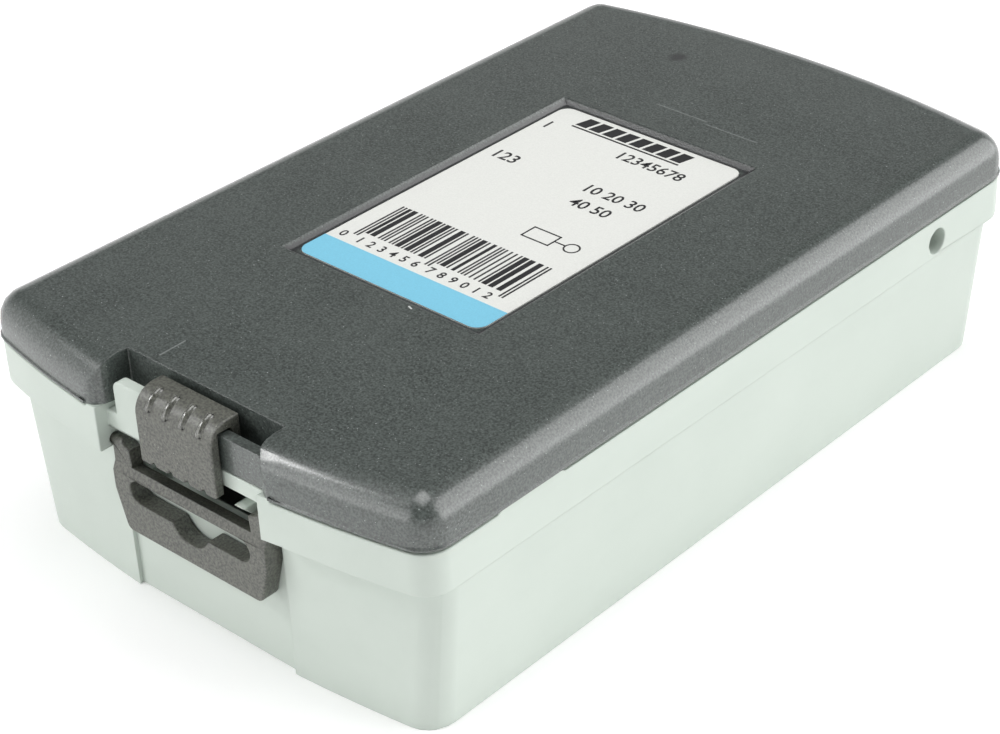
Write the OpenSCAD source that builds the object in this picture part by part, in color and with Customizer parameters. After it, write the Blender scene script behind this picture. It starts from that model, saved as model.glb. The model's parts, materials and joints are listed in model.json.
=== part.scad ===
// Pocket drill bit case: a two-shell moulded case whose lid lifts three tilting racks of drills.
// X runs across the case, Y along it (latch end at -Y, hinge end at +Y), Z up.
// The origin is the centre of the base face. All lengths are millimetres, lid closed and latched.

/* [Case] */
// Width of the rim
case_w = 96; // [92:1:108]
// Length of the rim over both bowed ends
case_l = 158; // [154:1:176]
// Height of the parting line above the table
part_z = 35.6; // [34.6:0.2:44]
// Height of the lid above the parting line
lid_h = 7.7; // [7:0.1:12]
// How far each end of the rim bows out
end_bow = 5.6; // [3:0.2:9]
// Corner radius seen from above
corner_r = 5; // [3:0.5:8]
// Wall thickness of both shells
wall = 2.2; // [1.6:0.1:2.6]

/* [Lower body] */
// Width of the base
base_w = 89; // [85:0.5:92]
// How far the ends below the rim are set back from it
rim_step = 4; // [3:0.1:5.5]
// How far the ends below the rim bow out
base_bow = 3.4; // [1:0.2:5]
// Height of the stepped rim band
rim_h = 8; // [6:0.5:12]
// Thickness of the floor
floor_t = 2.4; // [1.6:0.1:3]
// Height of the locating lip inside the lid
lip_h = 1.4; // [0.8:0.1:2]
// Height of the shadow gap between the rim and the lid
reveal_h = 0.6; // [0.3:0.1:0.9]
// Distance of the long sides' pads behind the rim's end
pad_back = 19.2; // [14:0.2:40]
// Length of the pads that fill the shadow gap on the long sides
pad_l = 14.7; // [8:0.1:30]
// Wall of the round bosses for the rack pivots
boss_wall = 1.5; // [1:0.1:2]

/* [Lid] */
// Radius of the rounded top edge
lid_edge_r = 5; // [2.5:0.5:6]
// Height of the bead round the lid's lower edge
bead_h = 0.5; // [0.4:0.1:1.4]
// How far the bead stands proud of the lid
bead_out = 0.3; // [0.2:0.05:0.6]
// Width of the printed label
label_w = 40.4; // [30:0.2:60]
// Length of the printed label
label_l = 66.6; // [40:0.2:90]
// Thickness of the label
label_t = 0.2; // [0.1:0.05:0.4]
// Depth of the label recess
recess_d = 0.9; // [0.5:0.1:1.4]
// Margin of the recess floor round the label
recess_margin = 0.6; // [0.3:0.1:2]
// Width of the bevel round the recess
recess_bevel = 1; // [0.4:0.1:2]
// Height of the stiffening ribs under the lid's top
lid_rib_h = 1.1; // [0.6:0.1:1.4]

/* [Latch] */
// Width of the latch notch in the lid
notch_w = 34.6; // [30:0.2:44]
// Depth of the notch, from the rim's end
notch_d = 8; // [7.2:0.1:10]
// Radius of the notch's front corners
notch_r = 3; // [2.7:0.1:4]
// Width of the sliding latch
latch_w = 16.8; // [12:0.2:17]
// Height of the latch plate's lower edge
latch_z0 = 30.2; // [30.1:0.1:30.8]
// Thickness of the latch
latch_t = 1.7; // [1.2:0.1:2]
// Thickness of the rail that the latch slides on
rail_t = 2; // [1.4:0.1:2.4]
// Height of the rail above the strip
rail_h = 6.2; // [5:0.1:7]
// Distance of the rail's face behind the rim's end
rail_back = 3.1; // [2.6:0.1:3.6]
// Height of the pale strip below the rail
strip_h = 2.8; // [2:0.1:4]
// Running clearance of the latch
slide_gap = 0.3; // [0.2:0.05:0.4]

/* [Hanger] */
// Width of the channel for the hanger
channel_w = 35.8; // [32:0.2:42]
// Depth of the channel, from the rim's end
channel_d = 5.2; // [4.8:0.1:6]
// Height of the hanger's lower edge
hanger_z0 = 13.8; // [8:0.2:15]
// Height of the hanger's pivot
hanger_pivot_z = 28.75; // [28.6:0.05:28.8]
// Thickness of the hanger's frame
hanger_t = 3.1; // [2.8:0.1:3.4]
// Thickness of the hanger's arms at the pivot
hanger_arm_t = 2.4; // [2.2:0.1:2.5]
// Width of the hanger's arms
hanger_arm_w = 3.9; // [2:0.1:4.2]
// Width of the hanging slot
slot_w = 26.8; // [20:0.2:27]
// Height of the hanging slot
slot_h = 4.2; // [4.1:0.1:5]
// Radius of the round lobe of the slot
lobe_r = 4.3; // [3:0.1:5]
// Height of the hanger's rim below the lobe
lobe_margin = 3.6; // [2.4:0.1:4]
// Radius of the hanger's lower corners
hanger_r = 1.4; // [0.8:0.1:2.4]
// Height of the tapered lower part of the hanger's sides
hanger_taper_h = 7.6; // [4:0.1:9]
// How far each side of the hanger tapers in towards the lower edge
hanger_taper = 2.1; // [0:0.1:3]
// Radius of the corners between the arms and the crossbar
arm_fillet_r = 2; // [1:0.1:3]
// Height of the crossbar above the slot
crossbar_h = 1.6; // [1.2:0.1:2]
// Radius of the hanger's trunnions
trunnion_r = 0.85; // [0.7:0.05:0.95]

/* [Hinge] */
// Radius of the hinge knuckles
knuckle_r = 2.2; // [1.8:0.1:2.8]
// Radius of the hinge pins
hinge_pin_r = 1; // [0.7:0.05:1.2]
// Distance of the hinge axis behind the rim's end
hinge_back = 1.2; // [0.8:0.1:2]
// Length of one hinge, over its three knuckles
hinge_l = 14; // [10:0.5:18]
// Distance of each hinge's middle from the case's middle
hinge_x = 20; // [16:0.5:28]

/* [Racks] */
// Number of drills in each rack, front to rear
drill_counts = [17, 17, 16];
// Diameter of the smallest drill
drill_d0 = 1; // [1:0.1:1.4]
// Step in diameter from one drill to the next
drill_step = 0.1; // [0.1:0.01:0.105]
// Height of each rack's body when the case is closed, front to rear
rack_hs = [9, 10.4, 11.6];
// Distance from each rack's pivot to its front face
rack_fronts = [9.5, 10.5, 11.5];
// Distance from each rack's pivot to its back
rack_back = 3.5; // [3:0.1:4]
// Step between the upper and the lower row's faces
row_step = 3; // [1:0.5:4]
// Depth of the drill sockets
socket_d = 9; // [7:0.5:9.5]
// Distance between neighbouring rack pivots along the case
rack_pitch = 33; // [30:0.5:36]
// Radius of the pivots of the front and middle racks
pivot_r = 1.9; // [1.4:0.1:2]
// Radius of the rear rack's pivots, seen in the side holes
rear_pivot_r = 2.3; // [1.8:0.1:2.4]
// Radial running clearance of pivots and crank pins
pivot_gap = 0.08; // [0.05:0.01:0.1]

/* [Side links] */
// Offset of the crank pins towards the front
crank_y = 11.5; // [11:0.1:13]
// Radius of the crank pins
crank_r = 1.3; // [1:0.1:1.4]
// Radius of the eyes of the links
eye_r = 2.4; // [2.2:0.1:2.6]
// Width of the links between their eyes
link_w = 3.6; // [3:0.1:4]
// Thickness of the links
link_t = 1.6; // [1.2:0.1:1.8]
// Thickness of the racks' end levers
lever_t = 1.8; // [1.4:0.1:2.2]
// Side clearance beside the links
side_gap = 0.3; // [0.2:0.05:0.4]

/* [Hidden] */

eps = 0.01;            // overlap of fused solids
cut = 1;               // overrun of cutting tools
round_fn = 48;
shell_color = [0.84, 0.87, 0.84];
lid_color = [0.33, 0.34, 0.34];
clip_color = [0.45, 0.43, 0.41];
label_color = [0.91, 0.92, 0.89];
rack_color = [0.30, 0.31, 0.31];
steel_color = [0.72, 0.73, 0.74];

case_h = part_z + lid_h;
rim_hw = case_w / 2;
rim_hl = case_l / 2;
base_hl = rim_hl - rim_step;
corner_steps = 5;
bow_steps = 10;

// Radius of the circle through both corners of an end that bows out by bow
function bow_radius(hw, bow) = (hw * hw + bow * bow) / (2 * bow);

// Quarter of the outline, from the long side to the middle of the end
function quarter(hw, hl, rb, r) =
    let (cx = hw - r, yb = hl - rb, cy = yb + sqrt(pow(rb - r, 2) - cx * cx),
         turn = atan2(cy - yb, cx))
    concat([for (i = [0 : corner_steps]) let (a = turn * i / corner_steps)
                [cx + r * cos(a), cy + r * sin(a)]],
           [for (i = [1 : bow_steps - 1]) let (a = turn + (90 - turn) * i / bow_steps)
                [rb * cos(a), yb + rb * sin(a)]]);
function reversed(pts) = [for (i = [len(pts) - 1 : -1 : 0]) pts[i]];
function outline(hw, hl, bow_r, r) =
    let (q = quarter(hw, hl, bow_r, r))
    concat(q, [[0, hl]], reversed([for (p = q) [-p[0], p[1]]]),
           [for (p = q) [-p[0], -p[1]]], [[0, -hl]], reversed([for (p = q) [p[0], -p[1]]]));

rim_bow_r = bow_radius(rim_hw, end_bow);
// Outline of the rim and the lid, moved inwards by inset
module rim_outline(inset = 0) {
    polygon(outline(rim_hw - inset, rim_hl - inset, rim_bow_r - inset, max(corner_r - inset, 1)));
}
// Outline of the lower body at a height, moved inwards by inset
function side_x(z) = base_w / 2 + (rim_hw - base_w / 2) * z / part_z;
module base_outline(z, inset = 0) {
    hw = side_x(z);
    polygon(outline(hw - inset, base_hl - inset, bow_radius(hw, base_bow) - inset,
                    max(corner_r - inset, 1)));
}
// Where the rim's end stands at a given distance from the middle
function rim_end(x) = rim_hl - rim_bow_r + sqrt(rim_bow_r * rim_bow_r - x * x);

// ---- Places that several pieces share ----
front_y = -rim_hl;
channel_y = front_y + channel_d;
channel_wall_y = channel_y + wall;
rail_y0 = front_y + rail_back;
rail_y1 = rail_y0 + rail_t;
notch_y = front_y + notch_d;
strip_gap = 0.2;
notch_corner_x = notch_w / 2 + notch_r;
notch_corner_y = rim_end(notch_corner_x) - notch_r;
tongue_r = 1.6;
strip_drop = 1.3;
strip_z1 = part_z - strip_drop;
strip_z0 = strip_z1 - strip_h;
rail_z1 = strip_z1 + rail_h;
rail_split = 0.15;
rail_hx = notch_w / 2 - 1.6;
web_t = 1.2;

hinge_y = rim_hl + hinge_back;
hinge_z = part_z;
hinge_gap = 0.2;
knuckle_gap = 0.35;
web_bite = 0.2;
seat_gap = 0.02;
knuckle_share = 0.3;
knuckle_l = hinge_l * knuckle_share;

hanger_back_gap = 0.2;
hanger_pivot_y = channel_y - hanger_back_gap - hanger_arm_t / 2;
hanger_back_y = hanger_pivot_y + hanger_arm_t / 2;
hanger_front_y = hanger_back_y - hanger_t;
hanger_side_gap = 0.7;
hanger_hw = channel_w / 2 - hanger_side_gap;
hanger_draft = 0.3;
hanger_arm_l = 3;
hanger_step_z = hanger_pivot_z - hanger_arm_l;
hanger_ramp_h = 1.4;
crossbar_fall = 1;
arm_top_r = 2.4;
crossbar_z0 = hanger_step_z - crossbar_h;
slot_z0 = crossbar_z0 - slot_h;
lobe_z = hanger_z0 + lobe_margin + lobe_r;
trunnion_l = 2;

// The window in the channel's wall, and the ledge beside it under the open latch
window_hw = hanger_hw - hanger_arm_w - slide_gap;
window_drop = 0.6;
window_z0 = crossbar_z0 - window_drop;
ledge_x = 10.4;
ledge_side_gap = 0.5;
ledge_end = window_hw - ledge_side_gap;
ledge_drop = 0.7;
ledge_z = latch_z0 - ledge_drop;
ledge_out = 2.7;

// Standard jobber lengths: each row is the largest diameter of a length step and that length
drill_lengths = [[1.05, 34], [1.15, 36], [1.35, 38], [1.55, 40], [1.75, 43], [1.95, 46],
                 [2.15, 49], [2.35, 53], [2.65, 57], [3.05, 61], [3.35, 65], [3.75, 70],
                 [4.25, 75], [4.75, 80], [5.35, 86], [6.75, 93]];
function drill_length(d) = [for (row = drill_lengths) if (d < row[0]) row[1]][0];
function first_drill(i) = i == 0 ? 0 : first_drill(i - 1) + drill_counts[i - 1];
function drill_d(k) = drill_d0 + drill_step * k;

// Racks stand one above the other, with a small gap between their layers
layer_gap = 0.3;
rack_floor_gap = 2.1;
rack_z0 = floor_t + rack_floor_gap;
rack_zs = [rack_z0 + rack_hs[0] / 2,
           rack_z0 + rack_hs[0] + layer_gap * 2 + rack_hs[1] / 2,
           rack_z0 + rack_hs[0] + layer_gap * 2 + rack_hs[1] + layer_gap + rack_hs[2] / 2];
tip_room = 4.5;
front_drill_l = drill_length(drill_d(drill_counts[0] - 1));
rack_y0 = channel_wall_y + front_drill_l + rack_fronts[0] - socket_d + tip_room;
front_pitch_share = 0.87;
rack_ys = [rack_y0, rack_y0 + rack_pitch * front_pitch_share,
           rack_y0 + rack_pitch * (1 + front_pitch_share)];

// The side links run beside the racks' end levers, just inside the long walls
link_x1 = min(side_x(rack_zs[0]), rim_hw) - wall - side_gap * 2;
link_x0 = link_x1 - link_t;
lever_x1 = link_x0 - side_gap;
lever_x0 = lever_x1 - lever_t;
lid_top_t = 2.2;
ear_gap = 0.4;
crank_z = lid_h - lid_top_t - eye_r - ear_gap;
crank = [-crank_y, crank_z];
lid_crank = [hinge_y, hinge_z] + crank;
function rack_pivot(i) = [rack_ys[i], rack_zs[i]];
function crank_pin(i) = rack_pivot(i) + crank;
function rack_pivot_r(i) = i == 2 ? rear_pivot_r : pivot_r;
// The sockets of the rear pivots go right through the wall
function socket_end(i) = i == 2 ? case_w : side_x(rack_zs[i]) - wall / 3;
rear_pin_set_in = 0.4;
function pin_end(i) =
    side_x(rack_zs[i]) - (i == 2 ? wall + rear_pin_set_in : wall / 3 + pivot_gap);

// ---- Helpers ----
// Moves children drawn in the Y-Z plane and extruded to x0 .. x1
module along_x(x0, x1) {
    translate([x0, 0, 0]) rotate([90, 0, 90]) linear_extrude(x1 - x0) children();
}
module rod_x(p, r, x0, x1) {
    translate([x0, p[0], p[1]]) rotate([0, 90, 0]) cylinder(r = r, h = x1 - x0, $fn = round_fn);
}
module box_at(x0, x1, y0, y1, z0, z1) {
    translate([x0, y0, z0]) cube([x1 - x0, y1 - y0, z1 - z0]);
}
// A flat bar with round ends between two points of the Y-Z plane
module bar(p, q, w, x0, x1) {
    d = q - p;
    translate([x0, p[0], p[1]]) rotate([atan2(d[1], d[0]), 0, 0]) translate([0, 0, -w / 2])
        cube([x1 - x0, norm(d), w]);
}
module both_sides() {
    children();
    mirror([1, 0, 0]) children();
}

// ---- Lower body ----
module body_shell() {
    difference() {
        union() {
            hull() {
                linear_extrude(eps) base_outline(0, 0);
                translate([0, 0, part_z - eps]) linear_extrude(eps) base_outline(part_z);
            }
            translate([0, 0, part_z - rim_h]) linear_extrude(rim_h) rim_outline();
        }
        hull() {
            translate([0, 0, floor_t]) linear_extrude(eps) base_outline(floor_t, wall);
            translate([0, 0, part_z + cut]) linear_extrude(eps) base_outline(part_z, wall);
        }
        translate([0, 0, part_z - rim_h + wall]) linear_extrude(rim_h) rim_outline(wall);
    }
}
// Lip that locates the lid, set back from the outer face by the lid's thin edge
lip_gap = 0.3;
lip_inset = (wall + lip_gap) / 2;
module lip() {
    translate([0, 0, part_z - eps]) linear_extrude(lip_h + eps) difference() {
        rim_outline(lip_inset);
        rim_outline(wall);
    }
}
// Shadow gap outside the lip, with pads that the lid rests on
pad_ramp = 1;
module pad(y0, y1, x1) {
    along_x(0, x1) polygon([[y0, part_z - reveal_h - eps], [y0 + pad_ramp, part_z + eps],
                            [y1 - pad_ramp, part_z + eps], [y1, part_z - reveal_h - eps]]);
}
module reveal() {
    pad_y = front_y + pad_back;
    difference() {
        translate([0, 0, part_z - reveal_h]) linear_extrude(reveal_h + cut) difference() {
            rim_outline(-cut);
            rim_outline(lip_inset);
        }
        both_sides() {
            translate([0, 0, -eps]) pad(pad_y, pad_y + pad_l, rim_hw + 2 * cut);
            box_at(0, notch_corner_x, front_y - 2 * cut, 0, 0, part_z);
        }
    }
}
// Bosses that the rack pivots turn in
module pivot_bosses() {
    for (i = [0 : 2])
        rod_x(rack_pivot(i), rack_pivot_r(i) + boss_wall, link_x1 + side_gap,
              side_x(rack_zs[i]) - wall / 2);
}
// Wall that carries the channel and closes the rim behind it
module channel_block() {
    hw = channel_w / 2 + wall;
    intersection() {
        box_at(-hw, hw, front_y - cut, channel_wall_y, floor_t - eps, part_z);
        union() {
            linear_extrude(part_z) base_outline(0, 0);
            translate([0, 0, part_z - rim_h]) linear_extrude(rim_h) rim_outline();
        }
    }
}
module channel_cut() {
    hw = channel_w / 2;
    box_at(-hw, hw, front_y - cut, channel_y, -cut, strip_z0);
    box_at(-hw, hw, front_y - cut, rail_y0, strip_z0 - eps, strip_z1);
    box_at(-hw, hw, front_y - cut, channel_y, strip_z1, part_z + cut);
    lip_hw = notch_w / 2 + max(wall, notch_r) + slide_gap;
    box_at(-lip_hw, lip_hw, front_y - cut, notch_y + wall + slide_gap,
           part_z, part_z + lip_h + cut);
}
module window() {
    translate([0, channel_y - eps, 0]) mirror([0, 1, 0]) rotate([90, 0, 0])
        linear_extrude(wall + 2 * eps)
            polygon([[-window_hw, window_z0], [window_hw + eps, window_z0],
                     [window_hw + eps, ledge_z - ledge_out], [ledge_x, ledge_z - ledge_out],
                     [ledge_x, strip_z0], [-window_hw, strip_z0]]);
}
module latch_ledge() {
    along_x(ledge_x, ledge_end)
        polygon([[channel_y + eps, ledge_z], [channel_y - ledge_out, ledge_z],
                 [channel_y + eps, ledge_z - ledge_out]]);
}
// Pale half of the latch rail
module tongue() {
    r = tongue_r;
    difference() {
        box_at(-rail_hx, -rail_split, rail_y0, rail_y1, strip_z1 - eps, rail_z1);
        translate([-rail_hx, rail_y0 - cut, rail_z1 - r]) rotate([-90, 0, 0]) difference() {
            translate([-cut, -r - cut, 0]) cube([r + cut, r + cut, rail_t + 2 * cut]);
            translate([r, 0, -cut]) cylinder(r = r, h = rail_t + 4 * cut, $fn = round_fn);
        }
    }
}
module body_knuckles() {
    for (s = [-1, 1]) {
        x0 = s > 0 ? hinge_x + hinge_l / 2 - knuckle_l : hinge_x - hinge_l / 2;
        rod_x([hinge_y, hinge_z], knuckle_r, x0, x0 + knuckle_l);
        box_at(x0, x0 + knuckle_l, rim_end(x0 + knuckle_l) - wall / 2, hinge_y,
               hinge_z - knuckle_r, hinge_z - eps);
    }
}
module body() {
    lid_knuckle_x = hinge_x - hinge_l / 2 + knuckle_l;
    color(shell_color) difference() {
        union() {
            difference() {
                union() {
                    body_shell();
                    lip();
                    channel_block();
                    both_sides() pivot_bosses();
                }
                channel_cut();
                window();
                reveal();
                both_sides() rod_x([hinge_y, hinge_z], knuckle_r + knuckle_gap,
                                   lid_knuckle_x - hinge_gap,
                                   lid_knuckle_x + hinge_l - 2 * knuckle_l + hinge_gap);
            }
            tongue();
            latch_ledge();
            both_sides() body_knuckles();
        }
        both_sides() {
            rod_x([hinge_y, hinge_z], hinge_pin_r + seat_gap, hinge_x - hinge_l,
                  hinge_x + hinge_l);
            rod_x([hanger_pivot_y, hanger_pivot_z], trunnion_r + pivot_gap,
                  hanger_hw, channel_w / 2 + trunnion_l + pivot_gap);
            for (i = [0 : 2])
                rod_x(rack_pivot(i), rack_pivot_r(i) + pivot_gap, link_x1, socket_end(i));
        }
    }
}

// ---- Lid ----
lid_rings = 5;
// Closed dome with upright sides up to z1 - r and a quarter-round edge above
module lid_solid(inset, z0, z1, r) {
    rings = concat([[z0, 0]], [for (i = [0 : lid_rings]) let (a = 90 * i / lid_rings)
                               [z1 - r + r * sin(a), r * (1 - cos(a))]]);
    loops = [for (ring = rings) let (m = inset + ring[1])
                 outline(rim_hw - m, rim_hl - m, rim_bow_r - m, max(corner_r - m, 0.6))];
    n = len(loops[0]);
    top = len(rings) - 1;
    polyhedron(
        points = [for (k = [0 : top]) for (p = loops[k]) [p[0], p[1], rings[k][0]]],
        faces = concat([[for (i = [0 : n - 1]) i]],
                       [for (k = [0 : top - 1], i = [0 : n - 1]) let (j = (i + 1) % n)
                            [k * n + i, (k + 1) * n + i, (k + 1) * n + j, k * n + j]],
                       [[for (i = [n - 1 : -1 : 0]) top * n + i]]));
}
module recess() {
    w = label_w + 2 * recess_margin;
    l = label_l + 2 * recess_margin;
    z = case_h - recess_d;
    hull() {
        translate([-w / 2, -l / 2, z]) cube([w, l, eps]);
        translate([-w / 2 - recess_bevel, -l / 2 - recess_bevel, case_h])
            cube([w + 2 * recess_bevel, l + 2 * recess_bevel, eps]);
    }
}
// Latch notch with rounded front corners; grow moves its walls outwards
module notch(grow = 0) {
    hw = notch_w / 2 + grow;
    z0 = part_z - cut;
    box_at(-hw, hw, front_y - cut, notch_y + grow, z0, case_h + cut);
    both_sides() difference() {
        box_at(hw - eps, notch_corner_x, front_y - cut, -notch_corner_y, z0, case_h + cut);
        translate([notch_corner_x, -notch_corner_y, z0 - cut])
            cylinder(r = notch_r - grow, h = lid_h + 4 * cut, $fn = round_fn);
    }
}
// Ribs under the lid's top, along the edges of the label recess
lid_rib_w = 1.2;
module lid_ribs() {
    hw = label_w / 2 + recess_margin + recess_bevel;
    hl = label_l / 2 + recess_margin + recess_bevel;
    z1 = case_h - lid_top_t;
    difference() {
        box_at(-hw, hw, -hl, hl, z1 - lid_rib_h, z1 + eps);
        box_at(-hw + lid_rib_w, hw - lid_rib_w, -hl + lid_rib_w, hl - lid_rib_w,
               z1 - lid_rib_h - cut, z1 + cut);
    }
}
module lid_bar() {
    box_at(rail_split, notch_w / 2, rail_y0, rail_y1, strip_z1 + strip_gap, rail_z1);
    box_at(notch_w / 2 - eps, notch_w / 2 + wall / 2, rail_y0, rail_y1, part_z, rail_z1);
    box_at(rail_split, notch_w / 2 + wall / 2, rail_y1 - eps, notch_y + wall / 2,
           part_z + strip_gap, part_z + strip_gap + web_t);
}
module lid_knuckle() {
    x0 = hinge_x - hinge_l / 2 + knuckle_l + hinge_gap;
    x1 = hinge_x + hinge_l / 2 - knuckle_l - hinge_gap;
    rod_x([hinge_y, hinge_z], knuckle_r, x0, x1);
    box_at(x0, x1, rim_end(x1) - web_bite, hinge_y, hinge_z + eps, hinge_z + knuckle_r);
}
// Ear that carries a side link's upper end
module lid_ear() {
    ear_w = 2 * eye_r;
    box_at(lever_x0, lever_x1, lid_crank[0] - ear_w / 2, lid_crank[0] + ear_w / 2,
           lid_crank[1], case_h - lid_top_t + eps);
    rod_x(lid_crank, eye_r, lever_x0, lever_x1);
    rod_x(lid_crank, crank_r, lever_x1 - eps, link_x1);
}
module lid() {
    body_knuckle_x = hinge_x - hinge_l / 2;
    color(lid_color) difference() {
        union() {
            difference() {
                union() {
                    lid_solid(0, part_z, case_h, lid_edge_r);
                    translate([0, 0, part_z]) linear_extrude(bead_h) rim_outline(-bead_out);
                }
                difference() {
                    union() {
                        lid_solid(wall, part_z - cut, case_h - lid_top_t, lid_edge_r - wall);
                        translate([0, 0, part_z - cut]) linear_extrude(cut + lip_h + lip_gap)
                            rim_outline(lip_inset - lip_gap);
                    }
                    notch(wall);
                }
                notch();
                recess();
                both_sides() for (x = [body_knuckle_x, body_knuckle_x + hinge_l - knuckle_l])
                    rod_x([hinge_y, hinge_z], knuckle_r + knuckle_gap, x - hinge_gap,
                          x + knuckle_l + hinge_gap);
            }
            lid_bar();
            lid_ribs();
            both_sides() {
                lid_knuckle();
                lid_ear();
            }
        }
        both_sides() rod_x([hinge_y, hinge_z], hinge_pin_r + pivot_gap, hinge_x - hinge_l,
                           hinge_x + hinge_l);
    }
}
module hinge_pin() {
    color(steel_color) rod_x([hinge_y, hinge_z], hinge_pin_r, hinge_x - hinge_l / 2,
                             hinge_x + hinge_l / 2);
}
module hinge_pin_right() { hinge_pin(); }
module hinge_pin_left() { mirror([1, 0, 0]) hinge_pin(); }

module label() {
    r = 2;
    color(label_color) translate([0, 0, case_h - recess_d]) linear_extrude(label_t) union() {
        square([label_w - 2 * r, label_l], center = true);
        square([label_w, label_l - 2 * r], center = true);
        for (x = [-1, 1], y = [-1, 1])
            translate([x * (label_w / 2 - r), y * (label_l / 2 - r)]) circle(r, $fn = round_fn);
    }
}

// ---- Sliding latch ----
grip_pitch = 3.7;
grip_w = 1;
grip_out = 0.35;
grip_arc = [100, 130, 160];   // angles that the ribs span on the shoulder
edge_notch_r = 0.45;
latch_shoulder_r = 4;
module latch() {
    y0 = rail_y0 - slide_gap - latch_t;
    y1 = rail_y1 + slide_gap + latch_t;
    z1 = rail_z1 + slide_gap + latch_t;
    r_out = latch_shoulder_r;
    leg_z0 = part_z + strip_gap + web_t + slide_gap;
    color(clip_color) difference() {
        along_x(-latch_w / 2, latch_w / 2) difference() {
            union() {
                translate([y0, latch_z0]) square([y1 - y0, z1 - r_out - latch_z0]);
                translate([y0 + r_out, z1 - r_out - eps]) square([y1 - y0 - r_out, r_out + eps]);
                intersection() {
                    translate([y0 + r_out, z1 - r_out]) circle(r_out, $fn = round_fn);
                    translate([y0, latch_z0]) square([y1 - y0, z1 - latch_z0]);
                }
            }
            translate([y0 + latch_t, latch_z0 - cut])
                square([y1 - y0 - 2 * latch_t, rail_z1 + slide_gap - latch_z0 + cut]);
            translate([y0 + latch_t, latch_z0 - cut])
                square([y1 - y0 - latch_t + cut, leg_z0 - latch_z0 + cut]);
        }
        for (i = [0 : 3])
            translate([(i - 1.5) * grip_pitch, y0, latch_z0]) rotate([-90, 0, 0])
                cylinder(r = edge_notch_r, h = 4 * latch_t, center = true, $fn = 24);
    }
    color(clip_color) for (i = [0 : 3]) let (x = (i - 1.5) * grip_pitch)
        along_x(x - grip_w / 2, x + grip_w / 2) intersection() {
            translate([y0 + r_out, z1 - r_out]) difference() {
                circle(r_out + grip_out, $fn = round_fn);
                circle(r_out - latch_t / 2, $fn = round_fn);
            }
            translate([y0 + r_out, z1 - r_out])
                polygon([[0, 0], for (a = grip_arc) 2 * r_out * [cos(a), sin(a)]]);
        }
}

// ---- Hanger ----
// Frame with upright arms and sides that taper below, less its window and its slot
module hanger_outline() {
    r = hanger_r;
    fr = arm_fillet_r;
    w = hanger_hw;
    arm_x = w - hanger_arm_w;
    top = hanger_pivot_z + hanger_arm_t;
    taper = atan2(hanger_taper, hanger_taper_h);
    corner_x = w - hanger_taper * (1 - r / hanger_taper_h) - r / cos(taper);
    side = [corner_x + r * cos(taper), hanger_z0 + r - r * sin(taper)];
    half = [[w, top], [w, hanger_z0 + hanger_taper_h], side, [corner_x, hanger_z0]];
    difference() {
        union() {
            polygon(concat(half, reversed([for (p = half) [-p[0], p[1]]])));
            for (s = [-1, 1]) translate([s * corner_x, hanger_z0 + r]) circle(r, $fn = round_fn);
        }
        translate([-arm_x, hanger_step_z + fr]) square([2 * arm_x, hanger_pivot_z]);
        translate([-arm_x + fr, hanger_step_z]) square([2 * (arm_x - fr), fr + eps]);
        for (s = [-1, 1]) translate([s * (arm_x - fr), hanger_step_z + fr])
            circle(fr, $fn = round_fn);
        for (s = [-1, 1]) translate([s * arm_x, top]) circle(arm_top_r, $fn = round_fn);
        slot_outline();
    }
}
module slot_outline() {
    r = slot_h / 2;
    translate([-slot_w / 2 + r, slot_z0]) square([slot_w - 2 * r, slot_h]);
    for (s = [-1, 1]) translate([s * (slot_w / 2 - r), slot_z0 + r]) circle(r, $fn = round_fn);
    intersection() {
        translate([0, lobe_z]) circle(lobe_r, $fn = round_fn);
        translate([-lobe_r, hanger_z0]) square([2 * lobe_r, slot_z0 + slot_h / 2 - hanger_z0]);
    }
}
module hanger() {
    w1 = hanger_hw;
    w0 = hanger_hw - hanger_draft;
    arm_x = hanger_hw - hanger_arm_w;
    arm_front_y = hanger_back_y - hanger_arm_t;
    color(clip_color) {
        difference() {
            intersection() {
                translate([0, hanger_back_y + cut, 0]) rotate([90, 0, 0])
                    linear_extrude(hanger_t + 2 * cut) hanger_outline();
                translate([0, 0, hanger_z0 - cut]) linear_extrude(hanger_pivot_z)
                    polygon([[-w1, hanger_back_y], [w1, hanger_back_y],
                             [w0, hanger_front_y], [-w0, hanger_front_y]]);
                along_x(-channel_w, channel_w) union() {
                    polygon([[hanger_front_y, hanger_z0], [hanger_back_y, hanger_z0],
                             [hanger_back_y, hanger_pivot_z], [arm_front_y, hanger_pivot_z],
                             [arm_front_y, hanger_step_z + eps],
                             [hanger_front_y, hanger_step_z - hanger_ramp_h]]);
                    translate([hanger_pivot_y, hanger_pivot_z])
                        circle(hanger_arm_t / 2, $fn = round_fn);
                }
            }
            along_x(-arm_x, arm_x)
                polygon([[arm_front_y, hanger_step_z], [arm_front_y, hanger_pivot_z],
                         [hanger_back_y + cut, hanger_pivot_z],
                         [hanger_back_y + cut, hanger_step_z - crossbar_fall]]);
        }
        both_sides() rod_x([hanger_pivot_y, hanger_pivot_z], trunnion_r,
                           hanger_hw - hanger_arm_w / 2, channel_w / 2 + trunnion_l);
    }
}

// ---- Drills ----
// Even places stand in the upper row, odd places in the lower row
rack_end_margin = 4.2;
socket_gap = 0.05;
function drill_x(i, j) = (lever_x0 - rack_end_margin) * (2 * j / (drill_counts[i] - 1) - 1);
row_share = 0.235;      // height of a row above or below the pivot, as a share of the rack's
function row_z(i, j) = rack_zs[i] + (j % 2 == 0 ? 1 : -1) * rack_hs[i] * row_share;
function face_y(i, j) = rack_ys[i] - rack_fronts[i] + (j % 2 == 0 ? 0 : row_step);
function butt_y(i, j) = face_y(i, j) + socket_d;

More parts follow.
